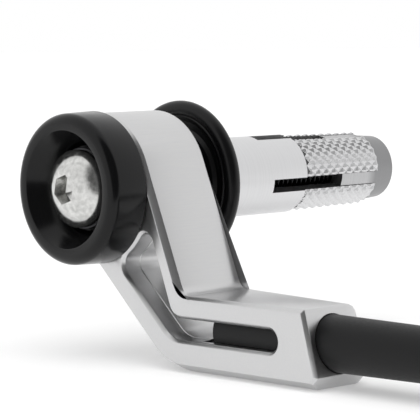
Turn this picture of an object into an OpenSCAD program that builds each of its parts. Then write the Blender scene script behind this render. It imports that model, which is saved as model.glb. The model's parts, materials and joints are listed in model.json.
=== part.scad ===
// Brake lever guard for the end of a motorbike handlebar.
// The bar axis is X: the handlebar comes from +X and meets the back of the adapter at x = 0.
// The guard arm is a plate square to the bar. Its lower leg and the rod run towards -Y.

/* [Bar end weight] */
// Largest diameter of the turned weight
weight_d = 28; // [24:0.5:36]
// Length of the weight along the bar axis
weight_len = 7.5; // [6:0.5:14]
// Radius of the rolled front lip
lip_r = 1.7; // [1:0.1:2.2]
// How much smaller the lip is than the back edge, on the radius
lip_draft = 0.45; // [0:0.05:1]
// Metal left under the washer
weight_web = 2; // [1.5:0.1:4]

/* [Clamp bolt] */
// Thread diameter of the clamp bolt
bolt_d = 8; // [6:1:8]
// Length of the bolt under its head
bolt_len = 70; // [66:1:72]
// Diameter of the domed head
head_d = 14; // [11:0.5:15]
// Height of the domed head
head_h = 4.4; // [3:0.1:5]
// Diameter of the flat on top of the dome
head_top_d = 6.6; // [6.2:0.1:8]
// Turn of the socket about the bar axis
socket_turn = 19; // [0:1:59]
// Hexagon socket across its flats
socket_af = 5; // [4:0.5:6]
// Depth of the hexagon socket
socket_depth = 2.8; // [2:0.1:3.5]
// Outer diameter of the washer
washer_d = 14.8; // [13:0.1:16]
// Thickness of the washer
washer_t = 1.3; // [0.8:0.1:2]

/* [Guard arm] */
// Diameter of the arm's round hub
hub_d = 28; // [26:0.5:34]
// Thickness of the arm at its hub
arm_t = 15; // [12:0.5:18]
// Thickness of the arm at the rod socket
arm_tip_t = 12.6; // [11.8:0.1:15]
// Distance from the bar axis down to the rod axis
rod_drop = 24; // [23:0.5:30]
// Height of the lower leg
leg_h = 13.6; // [12.5:0.1:16]
// Reach of the arm's end face, level with the rod axis
arm_reach = 53; // [46:1:70]
// Lean of the end face off square to the rod
end_lean = 15; // [0:1:20]
// Angle of the upper leg's front edge off vertical
front_lean = 21; // [15:1:26]
// Angle of the upper leg's back edge off vertical
back_lean = 47.5; // [42:0.5:50]
// Distance from the bar axis to the upper leg's back edge
back_offset = 11.5; // [10.5:0.1:12.5]
// Outer corner radius where the two legs meet
heel_r = 11.6; // [8:0.2:14]
// Inner corner radius where the two legs meet
throat_r = 2.6; // [1:0.1:5]
// Radius along the arm's rear edges
rear_r = 2.5; // [1:0.1:3]
// Chamfer along the hub and the front edge
hub_chamfer = 1; // [0.5:0.1:1.4]
// Chamfer along the lower leg's top and end
leg_chamfer = 0.6; // [0.3:0.1:1]
// Depth of the long bevel under the arm
bevel_depth = 3; // [2:0.1:4]
// Height of the long bevel under the arm
bevel_h = 1.6; // [0.8:0.1:2]
// Size of the bevel under the end face
end_bevel = 2.4; // [1:0.1:3]

/* [Arm window] */
// Wall between the window and the arm's front edge
front_wall = 3.75; // [3:0.05:5]
// Wall between the window and the arm's back edge, at the front face
back_wall = 3.9; // [3:0.1:5]
// Height of the window's slot over the rod
slot_h = 3.8; // [3:0.1:5]
// Metal left between the slot's end and the end face
slot_stop = 7.8; // [5:0.2:12]
// Corner radius at the top of the window
apex_r = 2; // [1.5:0.1:2.4]
// Corner radius beside the hub
hub_corner_r = 2.4; // [1.5:0.1:2.8]
// Chamfer round the window
window_chamfer = 0.6; // [0.3:0.1:0.8]
// Depth of the window's front cut, before its fine step
window_step_depth = 4; // [3:0.5:6]
// Width of the fine step inside the window
window_step = 0.15; // [0.1:0.05:0.3]

/* [Rod] */
// Diameter of the rod in its socket
rod_d = 9.6; // [8:0.1:10]
// Diameter of the rod at its bend
rod_bend_d = 9; // [7.6:0.1:9.6]
// Diameter of the rod at its tip
rod_tip_d = 8.4; // [7:0.1:9]
// Length of the rod inside the arm
rod_seat = 25.3; // [20:0.1:26]
// Straight run of the rod outside the arm
rod_run = 28; // [22:1:60]
// Radius of the rod's bend, at its centre line
rod_bend_r = 32; // [20:1:50]
// Straight run of the rod in front of the lever
rod_front_run = 78; // [40:1:120]
// Depth of the empty bore behind the rod
bore_spare = 2.5; // [1.5:0.1:3]
// Diameter of the screw that holds the rod
grub_d = 4; // [3:0.5:5]
// Hexagon socket of that screw, across its flats
grub_af = 2; // [1.5:0.5:2.5]

/* [Adapter] */
// Diameter of the adapter's flange
flange_d = 29.9; // [26:0.1:36]
// Thickness of the flange's rolled rim
flange_t = 2.9; // [2:0.1:4]
// Distance from the hub to the back of the adapter
adapter_len = 7.3; // [5:0.1:10]
// Diameter of the adapter's neck
neck_d = 19; // [16:0.5:22]
// Depth of the dished front of the flange
dish_depth = 0.9; // [0.4:0.1:1.4]
// Depth of the recess that centres the sleeve
register_depth = 1; // [0.8:0.1:1.6]

/* [Expander] */
// Outer diameter of the sleeve, for the handlebar's bore
sleeve_d = 15.1; // [13:0.1:18]
// Length of the sleeve
sleeve_len = 44; // [38:0.5:46]
// Bore of the sleeve
sleeve_bore = 9.2; // [8.8:0.1:10]
// Length of the knurled grip on the sleeve
grip_len = 19.4; // [12:0.2:24]
// Depth that the grip lies below the sleeve
grip_relief = 0.15; // [0.1:0.05:0.5]
// Diameter of the grip at the sleeve's end
grip_end_d = 14.3; // [12.4:0.1:16]
// Number of slots round the sleeve
slot_n = 4; // [3:1:4]
// Width of each slot
split_w = 2.6; // [1.5:0.1:3]
// Length of each slot from the sleeve's end
split_len = 28.6; // [20:0.2:32]
// Turn of the slots about the bar axis
split_turn = -13.7; // [-45:0.1:45]
// Wall of the sleeve at its mouth
mouth_wall = 0.75; // [0.6:0.05:1.2]
// Length of the cone that lies inside the sleeve
cone_in = 9.2; // [6:0.1:11]
// Length of the cone that stands out of the sleeve
cone_out = 6.4; // [4:0.1:9]
// Diameter of the cone at its far end
cone_end_d = 12.4; // [10.4:0.1:13]
// Height of the cone's keys below the sleeve's surface
key_drop = 0.35; // [0.2:0.05:0.8]

/* [Hidden] */
$fn = 96;
eps = 0.05;

// Clearances, on the radius unless said otherwise
bolt_gap = 0.25;
thread_gap = 0.02;
rod_gap = 0.08;
cone_gap = 0.03;
key_gap = 0.1;
washer_gap = 0.3;
register_gap = 0.1;
seat_spare = 1;

// Small edges and lead-ins
head_rim = 0.4;
bolt_point = 0.8;
washer_edge = 0.2;
weight_edge = 0.7;
rod_edge = 0.5;
cone_edge = 0.5;
cone_rim = 0.3;
cone_step = 0.2;
key_root = 0.4;
grub_point = 0.4;
grub_sink = 0.3;
overshoot = 0.5;
neck_edge = 0.5;
dish_edge = 0.6;
rim_step = 0.3;
rim_share = 0.9;
sleeve_edge = 0.3;
spigot_drop = 0.6;
register_lead = 0.6;
seam_step = 0.02;
seam_lap = 0.3;

// Places along the bar axis, from the handlebar outwards
hub_back = -adapter_len;
hub_front = hub_back - arm_t;
washer_seat = hub_front - weight_web;
head_seat = washer_seat - washer_t;
weight_front = hub_front - weight_len;
sleeve_end = sleeve_len;
cone_start = sleeve_end - cone_in;
cone_end = sleeve_end + cone_out;
bolt_end = head_seat + bolt_len;
bolt_r = bolt_d / 2;
hub_r = hub_d / 2;

// The rod's axis lies at half the arm's thickness at its end
rod_x = hub_front + arm_tip_t / 2 + 0.2;
bottom_z = -rod_drop - leg_h / 2 - bevel_h / 2 + 0.1;
top_z = bottom_z + leg_h;
rod_r = rod_d / 2;
bore_r = rod_r + rod_gap;
rod_in = arm_reach - rod_seat;
taper_from = 24;
taper_slope = (arm_t - arm_tip_t) / (arm_reach - taper_from);
slot_mid = -rod_drop + 0.15;
slot_end = arm_reach - slot_stop;
slot_bottom = slot_mid - slot_h / 2;
grub_at = (slot_end + arm_reach) / 2;

// A point in the plane of the arm is [reach, height]: reach grows towards -Y
function dir(a) = [cos(a), sin(a)];
// Where two lines meet, each given by the angle of its normal and its distance from the bar axis
function meet(a1, h1, a2, h2) =
    let (d = sin(a2 - a1))
    [(h1 * sin(a2) - h2 * sin(a1)) / d, (h2 * cos(a1) - h1 * cos(a2)) / d];
function arc(c, r, a1, a2, n) = [for (i = [0 : n]) c + r * dir(a1 + (a2 - a1) * i / n)];
// A corner that bulges out, and one that is cut in, between two lines
function bulge(a1, h1, a2, h2, r, n) = arc(meet(a1, h1 - r, a2, h2 - r), r, a1, a2, n);
function cove(a1, h1, a2, h2, r, n) = arc(meet(a1, h1 + r, a2, h2 + r), r, a1 + 180, a2 + 180, n);
// Centre of a fillet that touches a line and a circle about the bar axis
function beside(a, h, r) = h * dir(a) + sqrt(r * r - h * h) * dir(a + 90);
function beside_down(a, h, r) = h * dir(a) + sqrt(r * r - h * h) * dir(a - 90);

back_a = 180 + back_lean;
end_a = end_lean;
end_h = [arm_reach, -rod_drop] * dir(end_a);
bevel_a = -45;
bevel_corner = meet(270, -bottom_z - end_bevel, end_a, end_h);
armpit_r = 3;

// Outline of the arm, moved in by d_back at the back, heel and bottom, by d_hub at the hub and
// the front edge, and by d_leg at the leg's top and end
function arm_outline(d_back, d_hub, d_leg) =
    let (hb = back_offset - d_back, hd = -bottom_z - d_back, hf = hub_r - d_hub,
         ht = top_z - d_leg, he = end_h - d_leg,
         hv = bevel_corner * dir(bevel_a) - min(d_back, d_leg),
         pit = beside(back_a, hb + armpit_r, hf + armpit_r),
         pit_a = atan2(pit[1], pit[0]) + 360)
    concat(
        arc([0, 0], hf, front_lean, pit_a, 40),
        arc(pit, armpit_r, pit_a + 180, back_a + 180, 6),
        bulge(back_a, hb, 270, hd, max(heel_r - d_back, 1), 10),
        [[taper_from, -hd]],
        bulge(270, hd, 360 + bevel_a, hv, 0.1, 1),
        bulge(bevel_a, hv, end_a, he, 0.1, 1),
        bulge(end_a, he, 90, ht, 0.3, 2),
        [[taper_from, ht]],
        cove(90, ht, front_lean, hf, throat_r + d_leg, 8));

// Outline of the window, moved in by d; a negative d makes it larger
hub_side_r = hub_r - 0.1;
function window_outline(d) =
    let (hr = hub_r - front_wall - d, hl = back_offset - bevel_h - back_wall - d,
         top = slot_mid + slot_h / 2 - d, low = -slot_bottom - d, rs = slot_h / 2 - d,
         ra = hub_side_r + d, r1 = apex_r - d, r2 = hub_corner_r - d,
         c1 = beside_down(front_lean, hr - r1, ra + r1),
         c2 = beside(back_a, hl - r2, ra + r2),
         a1 = atan2(c1[1], c1[0]), a2 = atan2(c2[1], c2[0]))
    concat(
        arc(c1, r1, front_lean, a1 + 180, 10),
        arc([0, 0], ra, a1, a2, 8),
        arc(c2, r2, a2 + 180, back_a, 8),
        bulge(back_a, hl, 270, low, heel_r - bevel_h - back_wall - d, 8),
        [[taper_from, -low]],
        arc([slot_end - slot_h / 2, slot_mid], rs, -90, 90, 14),
        [[taper_from, top]],
        cove(90, top, front_lean, hr, throat_r + 0.4 + d, 7));

// A closed skin through rings of points, one ring a level, with flat ends that fold at the
// place where the leg starts to thin; each level is [depth, share of the thinning, outline]
function folded(p) = max(0, p[0] - taper_from);
module skin(levels) {
    n = len(levels[0][2]);
    m = len(levels);
    pts = [for (l = levels) for (p = l[2])
           [hub_front + l[0] - l[1] * taper_slope * folded(p), -p[0], p[1]]];
    ring = levels[0][2];
    fold = [for (i = [0 : n - 1]) if (ring[i][0] == taper_from) i];
    hub_side = concat([for (i = [0 : fold[0]]) i], [for (i = [fold[1] : n - 1]) i]);
    leg_side = [for (i = [fold[0] : fold[1]]) i];
    walls = [for (k = [0 : m - 2]) for (i = [0 : n - 1])
             let (j = (i + 1) % n, a = k * n + i, b = k * n + j, c = b + n, d = a + n)
             each [[a, b, c], [a, c, d]]];
    function flip(l) = [for (i = [len(l) - 1 : -1 : 0]) l[i]];
    function lift(l) = [for (i = l) i + (m - 1) * n];
    polyhedron(pts, concat([flip(hub_side), flip(leg_side)], walls,
                           [lift(hub_side), lift(leg_side)]), 4);
}

// A solid turned about the bar axis from an outline of [radius, place along the axis]
module turned() { rotate([0, 90, 0]) rotate_extrude() children(); }
module along_x(from, to, r) { translate([from, 0, 0]) rotate([0, 90, 0]) cylinder(to - from, r, r); }

module hex_socket(af, depth) {
    rotate([0, 90, 0]) cylinder(depth, af / sqrt(3), af / sqrt(3), $fn = 6);
}

// Bar end weight: a turned cup with a rolled lip, a conical dish and a seat for the washer
module bar_end_weight() {
    back_r = weight_d / 2;
    lip_c = [back_r - lip_draft - lip_r, weight_front + lip_r];
    seat_r = washer_d / 2 + washer_gap;
    color("#1c1d1f") turned() polygon(concat(
        [[bolt_r + bolt_gap, hub_front], [back_r - weight_edge, hub_front],
         [back_r, hub_front - weight_edge]],
        arc(lip_c, lip_r, 5, -200, 20),
        [[seat_r, washer_seat], [bolt_r + bolt_gap, washer_seat]]));
}

// Clamp bolt: domed head with a hexagon socket, plain body and a threaded end
module clamp_bolt() {
    head_r = head_d / 2;
    top_r = head_top_d / 2;
    // The dome runs from the top of the head's short rim to the edge of its flat top
    dome_c = (top_r * top_r + head_h * head_h - head_r * head_r - head_rim * head_rim)
             / (2 * (head_h - head_rim));
    dome_r = sqrt(head_r * head_r + (head_rim - dome_c) * (head_rim - dome_c));
    color("#b9babb") difference() {
        union() {
            turned() intersection() {
                translate([0, head_seat - head_h]) square([head_r, head_h]);
                translate([0, head_seat - dome_c]) circle(dome_r);
            }
            along_x(head_seat - eps, bolt_end - bolt_point, bolt_r);
            translate([bolt_end - bolt_point, 0, 0]) rotate([0, 90, 0])
                cylinder(bolt_point, bolt_r, bolt_r - bolt_point);
        }
        translate([head_seat - head_h - eps, 0, 0]) rotate([socket_turn, 0, 0])
            hex_socket(socket_af, socket_depth);
    }
}

// Washer in the weight's dish, its outer edge broken on the side of the head
module bolt_washer() {
    r = washer_d / 2;
    color("#4a4b4d") turned() polygon([
        [bolt_r + bolt_gap, washer_seat], [r, washer_seat], [r, head_seat + washer_edge],
        [r - washer_edge, head_seat], [bolt_r + bolt_gap, head_seat]]);
}

// Guard arm: milled from plate, with a hub, a leaning upper leg and a lower leg that holds the rod
module guard_arm() {
    bevel = function (x) bevel_h * max(0, 1 - x / bevel_depth);
    front = [for (x = [0, leg_chamfer, hub_chamfer, bevel_depth])
             [x, 0, arm_outline(bevel(x), max(0, hub_chamfer - x), max(0, leg_chamfer - x))]];
    rear = [for (a = [0 : 15 : 90]) let (d = rear_r * (1 - cos(a)))
            [arm_t - rear_r + rear_r * sin(a), 1, arm_outline(d, d, d)]];
    window = [for (l = [[-overshoot, 0, -window_chamfer - overshoot], [window_chamfer, 0, 0],
                        [window_step_depth, 0, 0], [window_step_depth, 0, window_step],
                        [arm_t - window_chamfer, 1, window_step],
                        [arm_t + overshoot, 1, window_step - window_chamfer - overshoot]])
              [l[0], l[1], window_outline(l[2])]];
    color("#c9cacb") difference() {
        skin(concat(front, rear));
        skin(window);
        along_x(hub_front - overshoot, hub_back + overshoot, bolt_r + bolt_gap);
        translate([rod_x, -rod_in + bore_spare, -rod_drop]) rotate([90, 0, 0])
            cylinder(arm_reach, bore_r, bore_r);
        translate([rod_x, -grub_at, bottom_z - overshoot])
            cylinder(-rod_drop - bottom_z + overshoot, grub_d / 2 + thread_gap, grub_d / 2 + thread_gap);
    }
}

// Rod: straight and slightly tapered out of the arm, then a quarter bend to run in front of the
// lever, along the bar axis
module guard_rod() {
    bend_at = arm_reach + rod_run;
    bend_r = rod_bend_d / 2;
    tip_r = rod_tip_d / 2;
    // The straight runs reach a little way into the bend, just under its surface
    nose_r = bend_r - seam_step;
    color("#2b2c2d") translate([rod_x, 0, -rod_drop]) {
        rotate([90, 0, 0]) rotate_extrude() polygon([
            [0, rod_in], [rod_r - rod_edge, rod_in], [rod_r, rod_in + rod_edge],
            [rod_r, arm_reach + rod_edge], [nose_r, bend_at + seam_lap], [0, bend_at + seam_lap]]);
        translate([rod_bend_r, -bend_at, 0]) {
            rotate([0, 0, 180]) rotate_extrude(angle = 90) translate([rod_bend_r, 0]) circle(bend_r);
            translate([0, -rod_bend_r, 0]) rotate([0, 90, 0]) rotate_extrude() {
                polygon([[0, -seam_lap], [nose_r, -seam_lap], [tip_r, rod_front_run],
                         [0, rod_front_run]]);
                translate([0, rod_front_run]) intersection() {
                    circle(tip_r);
                    square(tip_r);
                }
            }
        }
    }
}

// Grub screw from below, in the solid metal between the slot and the end face, tight on the rod
module rod_grub_screw() {
    length = -rod_drop - rod_r - thread_gap - (bottom_z + grub_sink);
    color("#242526") translate([rod_x, -grub_at, bottom_z + grub_sink]) difference() {
        union() {
            cylinder(length - grub_point, grub_d / 2, grub_d / 2);
            translate([0, 0, length - grub_point])
                cylinder(grub_point, grub_d / 2, grub_d / 2 - grub_point);
        }
        translate([0, 0, -eps]) cylinder(length / 2, grub_af / sqrt(3), grub_af / sqrt(3), $fn = 6);
    }
}

// Adapter: a neck against the hub, a dished flange with a rolled rim, and a recess with a lead-in
// for the sleeve's spigot
module adapter_flange() {
    rim = flange_t / 2;
    rim_c = flange_d / 2 - rim;
    rim_in = rim_c - rim * rim_share;
    neck_r = neck_d / 2;
    dish_x = -flange_t + dish_depth;
    recess_r = sleeve_d / 2 - spigot_drop + register_gap;
    color("#17181a") turned() union() {
        polygon([[bolt_r + bolt_gap, hub_back], [neck_r - neck_edge, hub_back],
                 [neck_r, hub_back + neck_edge], [neck_r, dish_x - dish_edge],
                 [neck_r + dish_edge, dish_x], [rim_in - dish_depth, dish_x],
                 [rim_in, -flange_t + rim_step], [rim_c, -rim], [rim_c, 0],
                 [recess_r + register_lead, 0], [recess_r, -register_lead],
                 [recess_r, -register_depth], [bolt_r + bolt_gap, -register_depth]]);
        translate([rim_c, -rim]) circle(rim);
    }
}

// The cone's radius where it leaves the sleeve, and the slope of the seat that they share
mouth_r = grip_end_d / 2 - mouth_wall;
cone_slope = (mouth_r - sleeve_bore / 2) / (cone_in + seat_spare);
module slots(w, from, to, r, depth) {
    for (i = [0 : slot_n - 1]) rotate([180 - split_turn + 360 * i / slot_n, 0, 0])
        translate([from, depth, -w / 2]) cube([to - from, r - depth, w]);
}

// Expander sleeve: slotted from its far end and seated on the cone, with a grip that is knurled
module expander_sleeve() {
    r = sleeve_d / 2;
    grip_at = sleeve_end - grip_len;
    color("#d2d3d4") difference() {
        turned() polygon([[sleeve_bore / 2, -register_depth], [r - spigot_drop, -register_depth],
                          [r - spigot_drop, 0], [r, 0], [r, grip_at - grip_relief],
                          [r - grip_relief, grip_at], [grip_end_d / 2, sleeve_end - sleeve_edge],
                          [grip_end_d / 2 - sleeve_edge, sleeve_end], [mouth_r, sleeve_end],
                          [sleeve_bore / 2, cone_start - seat_spare]]);
        slots(split_w, sleeve_end - split_len, sleeve_end + overshoot, r + overshoot, 0);
    }
}

// Expander cone: threaded for the bolt, with one key in each slot of the sleeve
module expander_cone() {
    inner_r = mouth_r - cone_slope * cone_in - cone_gap;
    shoulder = mouth_r - cone_gap;
    key_r = grip_end_d / 2 - key_drop;
    color("#97989a") union() {
        turned() polygon([[bolt_r + thread_gap, cone_start], [inner_r, cone_start],
                          [shoulder, sleeve_end], [shoulder + cone_step, sleeve_end + cone_rim],
                          [cone_end_d / 2, cone_end - cone_edge],
                          [cone_end_d / 2 - cone_edge, cone_end], [bolt_r + thread_gap, cone_end]]);
        intersection() {
            slots(split_w - 2 * key_gap, cone_start, sleeve_end + cone_rim, sleeve_d, bolt_r + key_root);
            along_x(cone_start, sleeve_end + cone_rim, key_r);
        }
    }
}

bar_end_weight();
clamp_bolt();
bolt_washer();
guard_arm();
guard_rod();
rod_grub_screw();
adapter_flange();
expander_sleeve();
expander_cone();
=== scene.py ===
import json
import math

import bmesh
import bpy
from mathutils import Matrix, Vector

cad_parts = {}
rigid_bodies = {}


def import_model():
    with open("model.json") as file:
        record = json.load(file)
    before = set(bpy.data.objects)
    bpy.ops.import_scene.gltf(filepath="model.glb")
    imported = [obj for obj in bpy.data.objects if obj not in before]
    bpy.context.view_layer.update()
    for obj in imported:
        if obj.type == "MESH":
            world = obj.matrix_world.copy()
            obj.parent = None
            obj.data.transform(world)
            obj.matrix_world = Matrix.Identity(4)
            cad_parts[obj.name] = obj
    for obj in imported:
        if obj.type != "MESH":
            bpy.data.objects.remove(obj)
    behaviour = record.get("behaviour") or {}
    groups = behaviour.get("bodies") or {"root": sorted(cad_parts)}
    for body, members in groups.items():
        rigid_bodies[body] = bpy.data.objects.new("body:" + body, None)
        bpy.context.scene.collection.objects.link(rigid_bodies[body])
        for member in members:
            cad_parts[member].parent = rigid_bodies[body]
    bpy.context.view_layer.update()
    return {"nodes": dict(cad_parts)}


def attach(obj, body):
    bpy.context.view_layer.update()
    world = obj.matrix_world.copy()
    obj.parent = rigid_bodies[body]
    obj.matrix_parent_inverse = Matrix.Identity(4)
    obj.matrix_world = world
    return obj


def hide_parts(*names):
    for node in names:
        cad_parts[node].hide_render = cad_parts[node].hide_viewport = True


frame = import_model()
cadNodes = frame["nodes"]
scene = bpy.context.scene
print("frame loaded:", len(cadNodes), "nodes")


# Small helpers. Sizes in the dictionaries are in millimetres.

# Points closer than this are one, in a new mesh and in a CAD mesh or thread. Then how near a ring's
# place and a cut's plane count as on them.
closeGap, meshGap, ringGap, cutGap = 0.001, 0.002, 0.003, 0.0005


def mm(*values):
    scaled = [value / 1000 for value in values]
    return scaled[0] if len(scaled) == 1 else Vector(scaled)


def ringPoint(along, radius, angle=0.0):  # a point at an angle round the bar axis, 0 towards +Y
    return mm(along, radius * math.cos(angle), radius * math.sin(angle))


def linear(hexCode):  # sRGB hex to the linear colour that the shaders want
    shares = [int(hexCode[i:i + 2], 16) / 255 for i in (1, 3, 5)]
    return [s / 12.92 if s <= 0.04045 else ((s + 0.055) / 1.055) ** 2.4 for s in shares] + [1.0]


def addNode(tree, kind, settings=None, inputs=None):
    node = tree.nodes.new(kind)
    for key, value in (settings or {}).items():
        setattr(node, key, value)
    for key, value in (inputs or {}).items():
        if isinstance(value, bpy.types.NodeSocket):
            tree.links.new(value, node.inputs[key])
        else:
            node.inputs[key].default_value = value
    return node


def startMaterial(name, look):
    material = bpy.data.materials.new(name)
    material.use_nodes = True
    tree = material.node_tree
    tree.nodes.clear()
    shader = addNode(tree, "ShaderNodeBsdfPrincipled", inputs=look)
    addNode(tree, "ShaderNodeOutputMaterial", inputs={"Surface": shader.outputs["BSDF"]})
    place = addNode(tree, "ShaderNodeTexCoord").outputs["Object"]
    return material, tree, shader, place


def addBump(tree, shader, height, depth, strength):  # depth in mm
    bump = addNode(tree, "ShaderNodeBump",
                   inputs={"Height": height, "Distance": mm(depth), "Strength": strength})
    tree.links.new(bump.outputs["Normal"], shader.inputs["Normal"])


noiseLow, noiseHigh = 0.3, 0.7  # most of a noise's values lie between these


def vary(tree, height, socket, low, high):  # steers a socket between two values
    span = addNode(tree, "ShaderNodeMapRange", inputs={
        "Value": height, "From Min": noiseLow, "From Max": noiseHigh,
        "To Min": low, "To Max": high})
    tree.links.new(span.outputs["Result"], socket)


def tint(tree, height, shader, darkHex, lightHex):
    share = addNode(tree, "ShaderNodeMapRange", inputs={
        "Value": height, "From Min": noiseLow, "From Max": noiseHigh})
    mix = addNode(tree, "ShaderNodeMix", {"data_type": "RGBA"}, {
        "Factor": share.outputs["Result"], "A": linear(darkHex), "B": linear(lightHex)})
    tree.links.new(mix.outputs["Result"], shader.inputs["Base Color"])
    return mix.outputs["Result"]


# Another colour from a place along the bar axis on. first and last are in mm.
def colourFrom(tree, place, shader, colour, first, last, beyondHex):
    split = addNode(tree, "ShaderNodeSeparateXYZ", inputs={0: place})
    share = addNode(tree, "ShaderNodeMapRange", inputs={
        "Value": split.outputs["X"], "From Min": mm(first), "From Max": mm(last)})
    mix = addNode(tree, "ShaderNodeMix", {"data_type": "RGBA"}, {
        "Factor": share.outputs["Result"], "A": colour, "B": linear(beyondHex)})
    tree.links.new(mix.outputs["Result"], shader.inputs["Base Color"])


# Rings that a lathe leaves: noise over the place along the bar axis and the distance from it,
# so that it gives rings on round walls and on flat faces alike. spacing is in mm.
def latheRings(tree, place, spacing, detail=3.0):
    split = addNode(tree, "ShaderNodeSeparateXYZ", inputs={0: place})
    flat = addNode(tree, "ShaderNodeVectorMath", {"operation": "MULTIPLY"},
                   {0: place, 1: (0.0, 1.0, 1.0)})
    reach = addNode(tree, "ShaderNodeVectorMath", {"operation": "LENGTH"},
                    {0: flat.outputs["Vector"]})
    ring = addNode(tree, "ShaderNodeCombineXYZ",
                   inputs={"X": split.outputs["X"], "Y": reach.outputs["Value"]})
    noise = addNode(tree, "ShaderNodeTexNoise", {"noise_dimensions": "2D"}, {
        "Vector": ring.outputs["Vector"], "Scale": 1000 / spacing, "Detail": detail})
    return noise.outputs["Fac"]


# Noise stretched along one axis or left even. grain is in mm, stretch is per axis.
def grainNoise(tree, place, grain, stretch=(1.0, 1.0, 1.0), detail=3.0):
    pulled = addNode(tree, "ShaderNodeMapping", inputs={
        "Vector": place, "Scale": [1000 / grain / s for s in stretch]})
    noise = addNode(tree, "ShaderNodeTexNoise", inputs={
        "Vector": pulled.outputs["Vector"], "Scale": 1.0, "Detail": detail})
    return noise.outputs["Fac"]


def finishPiece(name, bm, material, replaced, sharpAngle=30.0):
    mesh = bpy.data.meshes.new(name)
    bm.to_mesh(mesh)
    bm.free()
    mesh.shade_smooth()
    mesh.set_sharp_from_angle(angle=math.radians(sharpAngle))
    piece = bpy.data.objects.new(name, mesh)
    scene.collection.objects.link(piece)
    mesh.materials.append(material)
    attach(piece, "root")
    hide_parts(replaced)
    print("built", name, "with", len(mesh.polygons), "faces")
    return piece


# Turned aluminium, black anodised and sealed: deep black that mirrors the white set dimly, with
# faint rings from the lathe
def blackAnodised(name, rough):
    material, tree, shader, place = startMaterial(name, {
        "Base Color": linear("#050506"), "Roughness": rough, "Specular IOR Level": 0.27})
    rings = latheRings(tree, place, 0.25)
    vary(tree, rings, shader.inputs["Roughness"], rough - 0.03, rough + 0.03)
    addBump(tree, shader, rings, 0.003, 0.25)
    return material


# Milled aluminium, blasted fine and anodised clear: an even satin silver, the walls with faint
# cutter lines along the bar axis. The blasting's grain is too fine to show and is drawn at 0.3 mm.
def satinAluminium():
    material, tree, shader, place = startMaterial("satinAnodisedAluminium", {
        "Base Color": linear("#cececf"), "Metallic": 1.0, "Roughness": 0.3})
    lines = grainNoise(tree, place, 0.3, (14.0, 1.0, 1.0))
    vary(tree, lines, shader.inputs["Roughness"], 0.28, 0.32)
    tint(tree, lines, shader, "#cdcdce", "#d0d0d0")
    addBump(tree, shader, lines, 0.0005, 0.15)
    return material


# Cold forged steel, zinc plated and bright: mirror-like, with dents and drag marks, and drawn dark
# grey from 6 mm along the bar axis on, over the thread
def platedSteel():
    material, tree, shader, place = startMaterial("zincPlatedSteel", {
        "Base Color": linear("#d8d8d6"), "Metallic": 1.0, "Roughness": 0.16})
    marks = grainNoise(tree, place, 0.9, (1.0, 1.0, 1.0), 5.0)
    vary(tree, marks, shader.inputs["Roughness"], 0.12, 0.26)
    plated = tint(tree, marks, shader, "#b8b8b6", "#dededc")
    colourFrom(tree, place, shader, plated, 6.0, 9.0, "#454546")
    addBump(tree, shader, marks, 0.02, 0.4)
    return material


# Stamped steel, dark plated: grey with a dull shine
def darkSteel():
    material, tree, shader, place = startMaterial("darkPlatedSteel", {
        "Base Color": linear("#4c4c4e"), "Metallic": 1.0, "Roughness": 0.32})
    rings = latheRings(tree, place, 0.3)
    vary(tree, rings, shader.inputs["Roughness"], 0.25, 0.42)
    addBump(tree, shader, rings, 0.005, 0.4)
    return material


# Black oxide on a small steel screw: nearly black, oily sheen
def blackOxide():
    material, tree, shader, place = startMaterial("blackOxideSteel", {
        "Base Color": linear("#1c1c1e"), "Metallic": 0.6, "Roughness": 0.35})
    specks = grainNoise(tree, place, 0.4)
    vary(tree, specks, shader.inputs["Roughness"], 0.3, 0.45)
    return material


# Extruded nylon rod, black, with a fine drawn grain along it: satin, soft highlight on top
def blackNylon():
    material, tree, shader, place = startMaterial("satinBlackNylon", {
        "Base Color": linear("#0a0a0b"), "Roughness": 0.45, "IOR": 1.53,
        "Specular IOR Level": 0.22})
    grain = grainNoise(tree, place, 0.25, (1.0, 3.0, 1.0))
    vary(tree, grain, shader.inputs["Roughness"], 0.4, 0.5)
    tint(tree, grain, shader, "#09090a", "#0d0d0e")
    addBump(tree, shader, grain, 0.006, 0.25)
    return material


# Turned and knurled aluminium, bare: bright, with close rings from the tool's feed
def turnedAluminium():
    material, tree, shader, place = startMaterial("turnedAluminium", {
        "Base Color": linear("#d8d8d8"), "Metallic": 1.0, "Roughness": 0.32})
    rings = latheRings(tree, place, 0.2)
    vary(tree, rings, shader.inputs["Roughness"], 0.3, 0.35)
    tint(tree, rings, shader, "#d4d4d5", "#d9d9da")
    addBump(tree, shader, rings, 0.0006, 0.2)
    return material


# Turned aluminium left coarse from the tool: mid grey with fine rings, its key lighter up to 42 mm
# along the bar axis
def greyAluminium():
    material, tree, shader, place = startMaterial("coarseTurnedAluminium", {
        "Base Color": linear("#949495"), "Metallic": 1.0, "Roughness": 0.36})
    rings = latheRings(tree, place, 0.22, 4.0)
    vary(tree, rings, shader.inputs["Roughness"], 0.32, 0.42)
    key = tint(tree, rings, shader, "#b4b4b5", "#c2c2c3")
    colourFrom(tree, place, shader, key, 42.0, 44.5, "#919192")
    addBump(tree, shader, rings, 0.003, 0.35)
    return material


finishes = {
    "weight": blackAnodised("blackAnodisedAluminium", 0.2),
    "adapter": blackAnodised("mattBlackAnodisedAluminium", 0.32),
    "arm": satinAluminium(), "bolt": platedSteel(),
    "washer": darkSteel(), "grub": blackOxide(), "rod": blackNylon(),
    "sleeve": turnedAluminium(), "cone": greyAluminium()}
print("materials made:", len(finishes))

# The nodes that keep their own meshes
for nodeName, finishName in {
        "bolt_washer": "washer", "guard_rod": "rod", "rod_grub_screw": "grub",
        "adapter_flange": "adapter", "expander_cone": "cone"}.items():
    cadNodes[nodeName].material_slots[0].material = finishes[finishName]


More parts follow.
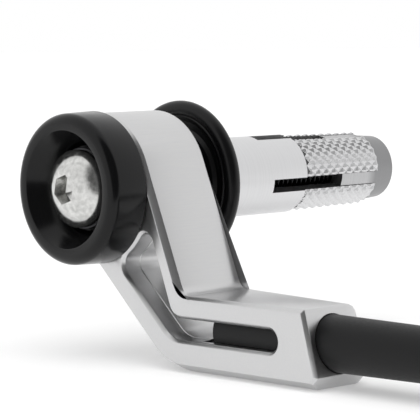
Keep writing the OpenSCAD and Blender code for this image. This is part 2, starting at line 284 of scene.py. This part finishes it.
def spinProfile(bm, points, facets):  # points are (place along the bar axis, radius)
    verts = [bm.verts.new(ringPoint(along, radius)) for along, radius in points]
    edges = [bm.edges.new(pair) for pair in zip(verts, verts[1:])]
    bmesh.ops.spin(bm, geom=verts + edges, cent=(0, 0, 0), axis=(1, 0, 0), dvec=(0, 0, 0),
                   angle=math.tau, steps=facets, use_merge=True)


def closeRound(bm):  # merges the axis points and the seam, and turns the faces outwards
    bmesh.ops.remove_doubles(bm, verts=bm.verts, dist=mm(closeGap))
    bmesh.ops.recalc_face_normals(bm, faces=bm.faces)


def breakEdges(bm, width, overAngle, segments=2):  # a small round on every edge sharper than that
    sharp = [e for e in bm.edges if len(e.link_faces) == 2
             and e.calc_face_angle(0.0) > math.radians(overAngle)]
    bmesh.ops.bevel(bm, geom=sharp, offset=mm(width), offset_type="OFFSET", segments=segments,
                    profile=0.5, affect="EDGES", material=-1, clamp_overlap=False)


def arcPoints(centre, radius, first, last, steps):  # angles in degrees, 0 along +X, 90 outwards
    angles = [math.radians(first + (last - first) * i / steps) for i in range(steps + 1)]
    return [(centre[0] + radius * math.cos(a), centre[1] + radius * math.sin(a)) for a in angles]


# Bar end weight: a turned cup with a rolled outer edge, a flat lip and one straight cone inside

weightLook = {
    "back": -22.3, "backRadius": 13.75, "backChamfer": 0.25, "bore": 4.25,
    "front": -30.0, "frontRadius": 13.55, "roll": 1.75, "rollSteps": 14,
    "crestRadius": 10.6, "seat": -24.3, "seatRadius": 7.7, "facets": 144,
    "edgeBreak": 0.12, "edgeAngle": 20.0}


def buildWeight(look):
    bm = bmesh.new()
    back, chamfer, roll = look["back"], look["backChamfer"], look["roll"]
    rollCentre = (look["front"] + roll, look["frontRadius"] - roll)
    first = (back, look["bore"])
    spinProfile(bm, [
        first, (back, look["backRadius"] - chamfer), (back - chamfer, look["backRadius"]),
        *arcPoints(rollCentre, roll, 90.0, 180.0, look["rollSteps"]),
        (look["front"], look["crestRadius"]), (look["seat"], look["seatRadius"]),
        (look["seat"], look["bore"]), first], look["facets"])
    closeRound(bm)
    breakEdges(bm, look["edgeBreak"], look["edgeAngle"])
    return finishPiece("bar_end_weight_turned", bm, finishes["weight"],
                       "bar_end_weight")


buildWeight(weightLook)


# Guard arm: the milled solid, trued up where the photo shows it slimmer or sharper, with its
# edges broken. In the arm's plane a place is (reach, height): reach grows towards -Y.

armLook = {
    "edgeBreak": 0.09, "edgeAngle": 28.0, "flatAngle": 0.4, "sharpAngle": 17.0,
    "hubRadius": 14.0, "hubSeen": 13.35, "frontLean": 21.0, "hubFadeFrom": 100.0, "hubFadeTo": 170.0,
    "rearX": -7.3, "rearRound": 2.5, "rearSeen": 0.45, "skinDepth": 2.65,
    "throatCentre": (23.65, -15.3), "legTop": -17.9,
    "taperFrom": 24.0, "reach": 53.0, "taper": 2.4, "tipExtra": 1.8,
    "rodX": -15.8, "rodHeight": -24.0, "boreClear": 5.3, "slack": 0.01, "rearSlack": 0.02}


def clampShare(value):
    return min(1.0, max(0.0, value))


# The outward direction of the arm's outline at a place, how far the hub is drawn in there, and by
# how much its rear round is smaller, or larger where that is below nought. None where the outline
# stays as it is.
def outlineAt(look, reach, height):
    lean = math.radians(look["frontLean"])
    face = Vector((math.cos(lean), math.sin(lean)))
    drawIn = look["hubRadius"] - look["hubSeen"]
    sharper = look["rearRound"] - look["rearSeen"]
    place, centre = Vector((reach, height)), Vector(look["throatCentre"])
    angle = math.atan2(height, reach)
    if angle >= lean - look["slack"] and place.length > look["hubRadius"] - look["skinDepth"]:
        turned = math.degrees(angle) - look["hubFadeFrom"]
        share = 1 - clampShare(turned / (look["hubFadeTo"] - look["hubFadeFrom"]))
        return place.normalized(), drawIn * share, sharper * share
    if height < look["legTop"] - look["skinDepth"] or reach < 0 or angle > lean:
        return None
    if reach > look["taperFrom"] - look["slack"]:
        along = (reach - look["taperFrom"]) / (look["reach"] - look["taperFrom"])
        return Vector((0.0, 1.0)), 0.0, sharper * (1 - along) - look["tipExtra"] * along
    if place.dot(face) < look["hubRadius"] - look["skinDepth"]:
        return None
    tangent = look["hubRadius"] * math.sin(lean)
    down = clampShare((tangent - height) / (tangent - look["legTop"]))
    return (centre - place).normalized(), drawIn * (1 - down), sharper


def trueArm(bm, look):
    for v in bm.verts:
        x, reach, height = v.co.x * 1000, -v.co.y * 1000, v.co.z * 1000
        folded = max(0.0, reach - look["taperFrom"]) / (look["reach"] - look["taperFrom"])
        roundFrom = look["rearX"] - look["rearRound"] - look["taper"] * folded
        rear = x > roundFrom - look["rearSlack"]
        found = outlineAt(look, reach, height)
        if found:
            outward, drawIn, less = found
            moved = Vector((reach, height)) - outward * drawIn
            if rear:
                # The rear round keeps its steps. It shrinks, and grows only near the leg's end.
                sine = clampShare((x - roundFrom) / look["rearRound"])
                moved += outward * less * (1 - math.sqrt(1 - sine * sine))
                x += less * (1 - sine)
            reach, height = moved
        offBore = math.hypot(x - look["rodX"], height - look["rodHeight"]) > look["boreClear"]
        if rear and offBore:
            x += look["tipExtra"] * folded
        v.co = mm(x, -reach, height)


def buildArm(look):
    bm = bmesh.new()
    bm.from_mesh(cadNodes["guard_arm"].data)
    bmesh.ops.remove_doubles(bm, verts=bm.verts, dist=mm(meshGap))
    trueArm(bm, look)
    bmesh.ops.dissolve_limit(bm, angle_limit=math.radians(look["flatAngle"]),
                             verts=bm.verts, edges=bm.edges)
    breakEdges(bm, look["edgeBreak"], look["edgeAngle"])
    return finishPiece("guard_arm_milled", bm, finishes["arm"], "guard_arm",
                       look["sharpAngle"])


buildArm(armLook)


# Clamp bolt: domed head, hexagon socket, plain body and a rolled M8 thread

boltLook = {
    "headTop": -30.0, "headSeat": -25.6, "headRadius": 7.0, "topRadius": 3.1,
    "domeRadius": 9.2, "domeEdge": 6.75, "rimRound": 0.45, "domeSteps": 10, "underFillet": 0.4,
    "socketFlats": 4.8, "socketTurn": 42.0, "socketDepth": 2.6, "socketPoint": 1.5,
    "bodyRadius": 4.0, "threadFrom": 10.0, "end": 44.4, "point": 0.8,
    "pitch": 1.25, "rootRadius": 3.28, "coreRadius": 3.0, "facets": 96, "threadFacets": 40,
    "threadShares": (0.25, 0.5625, 0.6875), "seatBreak": 0.1, "filletShare": 0.3, "coreTip": 1.0}


def openEdges(bm, along):  # the open edges of a ring at one place along the bar axis
    return [e for e in bm.edges if len(e.link_faces) < 2
            and all(abs(v.co.x - mm(along)) < mm(ringGap) for v in e.verts)]


def buildBolt(look):
    bm = bmesh.new()
    # The head and body: an outline from the rim of the flat top, over the dome, to the body's end
    first = math.degrees(math.asin(look["topRadius"] / look["domeRadius"]))
    last = math.degrees(math.asin(look["domeEdge"] / look["domeRadius"]))
    centre = look["headTop"] + look["domeRadius"] * math.cos(math.radians(first))
    dome = arcPoints((centre, 0.0), look["domeRadius"], 180 - first, 180 - last, look["domeSteps"])
    body, seat, fillet = look["bodyRadius"], look["headSeat"], look["underFillet"]
    middle = fillet * look["filletShare"]
    spinProfile(bm, dome + [
        (dome[-1][0] + look["rimRound"], look["headRadius"]),
        (seat - look["seatBreak"], look["headRadius"]),
        (seat, look["headRadius"] - look["seatBreak"]),
        (seat, body + fillet), (seat + middle, body + middle),
        (seat + fillet, body), (look["threadFrom"], body),
        (look["threadFrom"], look["coreRadius"]),
        (look["threadFrom"] + look["coreTip"], 0.0)], look["facets"])
    closeRound(bm)
    # The socket: a six-sided ring bridged to the flat top's rim, then pushed in to a point
    topX = dome[0][0]
    hexagon = bmesh.ops.create_circle(bm, segments=6, radius=mm(look["socketFlats"] / math.sqrt(3)))
    turn = Matrix.Rotation(math.radians(look["socketTurn"]), 3, "X") @ Matrix.Rotation(
        math.radians(90), 3, "Y")
    bmesh.ops.rotate(bm, verts=hexagon["verts"], cent=(0, 0, 0), matrix=turn)
    bmesh.ops.translate(bm, verts=hexagon["verts"], vec=mm(topX, 0, 0))
    bmesh.ops.bridge_loops(bm, edges=openEdges(bm, topX))
    rim = [e for v in hexagon["verts"] for e in v.link_edges if e.is_boundary]
    pushed = bmesh.ops.extrude_edge_only(bm, edges=list(set(rim)))["geom"]
    floorVerts = [g for g in pushed if isinstance(g, bmesh.types.BMVert)]
    bmesh.ops.translate(bm, verts=floorVerts, vec=mm(look["socketDepth"], 0, 0))
    floorEdges = [g for g in pushed if isinstance(g, bmesh.types.BMEdge) and g.is_boundary]
    cap = bmesh.ops.holes_fill(bm, edges=floorEdges)["faces"]
    tip = bmesh.ops.poke(bm, faces=cap)["verts"]
    bmesh.ops.translate(bm, verts=tip, vec=mm(look["socketPoint"], 0, 0))
    closeRound(bm)
    # The thread: one turn's outline carried round and along, cut square at both ends
    pitch, crest, root = look["pitch"], body, look["rootRadius"]
    turns = math.ceil((look["end"] - look["threadFrom"]) / pitch) + 2
    start = look["threadFrom"] - pitch
    thread = bmesh.new()
    rootTo, crestFrom, crestTo = (start + pitch * share for share in look["threadShares"])
    outline = [(start, root), (rootTo, root), (crestFrom, crest), (crestTo, crest),
               (start + pitch, root)]
    verts = [thread.verts.new(ringPoint(*point)) for point in outline]
    edges = [thread.edges.new(pair) for pair in zip(verts, verts[1:])]
    bmesh.ops.spin(thread, geom=verts + edges, cent=(0, 0, 0), axis=(1, 0, 0),
                   dvec=mm(pitch / look["threadFacets"], 0, 0), angle=math.tau * turns,
                   steps=look["threadFacets"] * turns, use_merge=False)
    bmesh.ops.remove_doubles(thread, verts=thread.verts, dist=mm(meshGap))
    for cutAt, side in ((look["threadFrom"], -1), (look["end"], 1)):
        bmesh.ops.bisect_plane(thread, geom=thread.verts[:] + thread.edges[:] + thread.faces[:],
                               dist=mm(cutGap), plane_co=mm(cutAt, 0, 0), plane_no=(side, 0, 0),
                               clear_outer=True)
    pointFrom = look["end"] - look["point"]
    for v in thread.verts:
        limit = mm(crest - max(0.0, v.co.x * 1000 - pointFrom))
        reach = math.hypot(v.co.y, v.co.z)
        if reach > limit:
            v.co.y, v.co.z = v.co.y * limit / reach, v.co.z * limit / reach
    for cutAt in (look["threadFrom"], look["end"]):
        bmesh.ops.holes_fill(thread, edges=openEdges(thread, cutAt))
    bmesh.ops.recalc_face_normals(thread, faces=thread.faces)
    threadMesh = bpy.data.meshes.new("thread")
    thread.to_mesh(threadMesh)
    thread.free()
    bm.from_mesh(threadMesh)
    bpy.data.meshes.remove(threadMesh)
    return finishPiece("clamp_bolt_threaded", bm, finishes["bolt"], "clamp_bolt")


buildBolt(boltLook)


# Expander sleeve: turned, diamond knurled on its grip, and slotted

sleeveLook = {
    "radius": 7.55, "bore": 4.6, "spigotRadius": 6.95, "spigotEnd": -1.0, "smoothEnd": 24.25,
    "seatFrom": 33.8, "mouthRadius": 6.56, "end": 44.9, "facets": 104, "edge": 0.15,
    "gripFrom": 24.75, "gripTo": 44.7, "gripTopFrom": 7.4, "gripTopTo": 7.15,
    "starts": 26, "pitchAlong": 2.2, "grooveDepth": 0.34, "flatShare": 0.22, "endRadius": 6.8,
    "slotFrom": 15.4, "slotWidth": 2.6, "slotTurn": 193.7, "slotCount": 4, "slotOver": 0.5,
    "mouthGap": 0.005, "sharpAngle": 24.0}


def grooveRadius(look, along):
    share = (along - look["gripFrom"]) / (look["gripTo"] - look["gripFrom"])
    top = look["gripTopFrom"] + (look["gripTopTo"] - look["gripTopFrom"]) * share
    return top - look["grooveDepth"]


def setRadius(v, radius):  # radius in mm, the place along the bar axis stays
    scale = mm(radius) / math.hypot(v.co.y, v.co.z)
    v.co.y, v.co.z = v.co.y * scale, v.co.z * scale


def buildKnurl(bm, look):
    starts, pitch = look["starts"], look["pitchAlong"]
    rows = math.ceil((look["gripTo"] - look["gripFrom"]) / pitch)
    ring = bmesh.ops.create_circle(bm, segments=starts, radius=mm(look["gripTopFrom"]))["verts"]
    bmesh.ops.rotate(bm, verts=ring, cent=(0, 0, 0), matrix=Matrix.Rotation(math.radians(90), 3, "Y"))
    bmesh.ops.translate(bm, verts=ring, vec=mm(look["gripFrom"], 0, 0))
    front = list({e for v in ring for e in v.link_edges})
    for _ in range(rows):
        made = bmesh.ops.extrude_edge_only(bm, edges=front)["geom"]
        moved = [g for g in made if isinstance(g, bmesh.types.BMVert)]
        bmesh.ops.translate(bm, verts=moved, vec=mm(pitch, 0, 0))
        front = [g for g in made if isinstance(g, bmesh.types.BMEdge)
                 and all(v in moved for v in g.verts)]
    # Poked quads joined across their old edges make the crossed grooves' diamonds
    oldEdges = set(bm.edges)
    bmesh.ops.poke(bm, faces=bm.faces)
    for v in bm.verts:
        setRadius(v, grooveRadius(look, v.co.x * 1000))
    inner = [e for e in oldEdges if e.is_valid and len(e.link_faces) == 2]
    bmesh.ops.dissolve_edges(bm, edges=inner, use_verts=False)
    bmesh.ops.recalc_face_normals(bm, faces=bm.faces)
    # Each diamond is raised to a blunt pyramid
    halfAlong = pitch / 2
    halfRound = math.pi * look["gripTopFrom"] / starts
    inRadius = halfAlong * halfRound / math.hypot(halfAlong, halfRound)
    bmesh.ops.inset_individual(bm, faces=bm.faces[:], thickness=mm(inRadius * (1 - look["flatShare"])),
                               depth=mm(look["grooveDepth"]), use_even_offset=True)
    bmesh.ops.bisect_plane(bm, geom=bm.verts[:] + bm.edges[:] + bm.faces[:], dist=mm(cutGap),
                           plane_co=mm(look["gripTo"], 0, 0), plane_no=(1, 0, 0), clear_outer=True)


def buildSleeve(look):
    bm = bmesh.new()
    buildKnurl(bm, look)
    # The knurl's cut end drops to the end face
    made = bmesh.ops.extrude_edge_only(bm, edges=openEdges(bm, look["gripTo"]))["geom"]
    for g in made:
        if isinstance(g, bmesh.types.BMVert):
            g.co.x = mm(look["end"])
            setRadius(g, look["endRadius"])
    # All that is plain: outside, spigot, bore and the tapered seat for the cone
    edge, radius = look["edge"], look["radius"]
    mouth = look["end"] - look["mouthGap"]  # a place of its own, so that its ring can be found
    spinProfile(bm, [
        (look["smoothEnd"], radius), (edge, radius), (0.0, radius - edge),
        (0.0, look["spigotRadius"]), (look["spigotEnd"] + edge, look["spigotRadius"]),
        (look["spigotEnd"], look["spigotRadius"] - edge), (look["spigotEnd"], look["bore"]),
        (look["seatFrom"], look["bore"]), (mouth, look["mouthRadius"])], look["facets"])
    bmesh.ops.remove_doubles(bm, verts=bm.verts, dist=mm(closeGap))
    for first, second in ((look["smoothEnd"], look["gripFrom"]), (mouth, look["end"])):
        bmesh.ops.bridge_loops(bm, edges=list(set(openEdges(bm, first) + openEdges(bm, second))))
    bmesh.ops.recalc_face_normals(bm, faces=bm.faces)
    print("sleeve open edges before slots:", sum(e.is_boundary for e in bm.edges))
    mesh = bpy.data.meshes.new("sleeveBlank")
    bm.to_mesh(mesh)
    bm.free()
    blank = bpy.data.objects.new("sleeveBlank", mesh)
    scene.collection.objects.link(blank)
    # One cutter a slot, from the axis outwards
    cutterMesh = bmesh.new()
    reach = radius + look["slotOver"]
    length = look["end"] + look["slotOver"] - look["slotFrom"]
    for i in range(look["slotCount"]):
        box = bmesh.ops.create_cube(cutterMesh, size=1.0)["verts"]
        bmesh.ops.scale(cutterMesh, verts=box, vec=mm(length, reach, look["slotWidth"]))
        bmesh.ops.translate(cutterMesh, verts=box,
                            vec=mm(look["slotFrom"] + length / 2, reach / 2, 0))
        turn = math.radians(look["slotTurn"] + 360 * i / look["slotCount"])
        bmesh.ops.rotate(cutterMesh, verts=box, cent=(0, 0, 0), matrix=Matrix.Rotation(turn, 3, "X"))
        cutMesh = bpy.data.meshes.new("slotCutter")
        cutterMesh.to_mesh(cutMesh)
        cutterMesh.clear()
        cutter = bpy.data.objects.new("slotCutter", cutMesh)
        scene.collection.objects.link(cutter)
        cut = blank.modifiers.new("slot", "BOOLEAN")
        cut.operation, cut.solver, cut.object = "DIFFERENCE", "MANIFOLD", cutter
    cutterMesh.free()
    slotted = blank.evaluated_get(bpy.context.evaluated_depsgraph_get()).to_mesh()
    bm = bmesh.new()
    bm.from_mesh(slotted)
    for o in [o for o in scene.objects if o.name.startswith(("slotCutter", "sleeveBlank"))]:
        bpy.data.objects.remove(o)
    bmesh.ops.remove_doubles(bm, verts=bm.verts, dist=mm(closeGap))
    print("sleeve open edges after slots:", sum(e.is_boundary for e in bm.edges))
    return finishPiece("expander_sleeve_knurled", bm, finishes["sleeve"],
                       "expander_sleeve", look["sharpAngle"])


buildSleeve(sleeveLook)


# Stage: a white sheet that keeps the object's shadow

stageLook = {
    "floorZ": -31.52, "size": 3000.0, "frontEdge": 145.0, "cameraSide": (-0.6812, -0.7275),
    "paper": "#dadada", "glow": 0.28}


def buildFloor(look):
    bm = bmesh.new()
    size = look["size"]
    bmesh.ops.create_grid(bm, x_segments=1, y_segments=1, size=mm(size))
    sideX, sideY = look["cameraSide"]
    toCamera = math.atan2(sideY, sideX)
    # The sheet ends in front of the object, where the set is dark
    bmesh.ops.translate(bm, verts=bm.verts, vec=mm(-size + look["frontEdge"], 0, 0))
    bmesh.ops.rotate(bm, verts=bm.verts, cent=(0, 0, 0), matrix=Matrix.Rotation(toCamera, 3, "Z"))
    bmesh.ops.translate(bm, verts=bm.verts, vec=mm(0, 0, look["floorZ"]))
    mesh = bpy.data.meshes.new("paperFloor")
    bm.to_mesh(mesh)
    bm.free()
    floor = bpy.data.objects.new("paperFloor", mesh)
    scene.collection.objects.link(floor)
    mesh.materials.append(startMaterial("whitePaper", {
        "Base Color": linear(look["paper"]), "Roughness": 0.9, "Specular IOR Level": 0.1,
        "Emission Color": linear("#ffffff"), "Emission Strength": look["glow"]})[0])


buildFloor(stageLook)


# Light: a white set, with a dark side to the left of the camera, and a softbox overhead

lightLook = {
    "setForDiffuse": 0.6, "darkSide": (-0.38, -0.80, 0.46), "darkLevel": 0.14,
    "darkFrom": 0.62, "darkTo": 0.78,
    "boxSide": (-0.45, -0.45, 1.0), "boxSpread": 75.0, "boxLevel": 2.1}


def buildLight(look):
    world = bpy.data.worlds.new("whiteSet")
    scene.world = world
    world.use_nodes = True
    tree = world.node_tree
    tree.nodes.clear()
    direction = addNode(tree, "ShaderNodeTexCoord").outputs["Generated"]
    side = Vector(look["darkSide"]).normalized()
    facing = addNode(tree, "ShaderNodeVectorMath", {"operation": "DOT_PRODUCT"},
                     {0: direction, 1: side})
    level = addNode(tree, "ShaderNodeMapRange", {"interpolation_type": "SMOOTHSTEP"}, {
        "Value": facing.outputs["Value"], "From Min": look["darkFrom"], "From Max": look["darkTo"],
        "To Min": 1.0, "To Max": look["darkLevel"]})
    path = addNode(tree, "ShaderNodeLightPath")
    soft = addNode(tree, "ShaderNodeBackground",
                   inputs={"Color": linear("#ffffff"), "Strength": look["setForDiffuse"]})
    mirrored = addNode(tree, "ShaderNodeBackground",
                       inputs={"Color": linear("#ffffff"), "Strength": level.outputs["Result"]})
    plain = addNode(tree, "ShaderNodeBackground",
                    inputs={"Color": linear("#ffffff"), "Strength": 1.0})
    sharpRay = addNode(tree, "ShaderNodeMath", {"operation": "MAXIMUM"}, {
        0: path.outputs["Is Glossy Ray"], 1: path.outputs["Is Transmission Ray"]})
    first = addNode(tree, "ShaderNodeMixShader", inputs={
        0: sharpRay.outputs["Value"], 1: soft.outputs["Background"],
        2: mirrored.outputs["Background"]})
    second = addNode(tree, "ShaderNodeMixShader", inputs={
        0: path.outputs["Is Camera Ray"], 1: first.outputs["Shader"],
        2: plain.outputs["Background"]})
    addNode(tree, "ShaderNodeOutputWorld", inputs={"Surface": second.outputs["Shader"]})
    # A far softbox, a wide sun to Blender, lights the paper evenly; the metal mirrors only the set
    lamp = bpy.data.lights.new("overheadSoftbox", "SUN")
    lamp.angle, lamp.energy = math.radians(look["boxSpread"]), look["boxLevel"]
    box = bpy.data.objects.new("overheadSoftbox", lamp)
    box.rotation_mode = "QUATERNION"
    box.rotation_quaternion = Vector(look["boxSide"]).to_track_quat("Z", "Y")
    box.visible_glossy = False
    scene.collection.objects.link(box)


buildLight(lightLook)


# Camera, as fitted to the photograph's round edges

cameraLook = {
    "place": (-277.29, -302.03, 27.87), "focalPixels": 2200.07, "framePixels": 420.0,
    "right": (0.7291, -0.6843, -0.0135), "up": (0.0656, 0.0501, 0.9966),
    "sensorWidth": 36.0, "clipStart": 50.0}


def buildCamera(look):
    data = bpy.data.cameras.new("photoCamera")
    data.sensor_width = look["sensorWidth"]
    data.lens = look["focalPixels"] / look["framePixels"] * data.sensor_width
    data.clip_start = mm(look["clipStart"])
    camera = bpy.data.objects.new("photoCamera", data)
    right = Vector(look["right"]).normalized()
    back = right.cross(Vector(look["up"])).normalized()
    up = back.cross(right)
    camera.matrix_world = Matrix.Translation(mm(*look["place"])) @ Matrix(
        (right, up, back)).transposed().to_4x4()
    scene.collection.objects.link(camera)
    scene.camera = camera


buildCamera(cameraLook)
scene.view_settings.view_transform = "Standard"
print("stage, light and camera made")
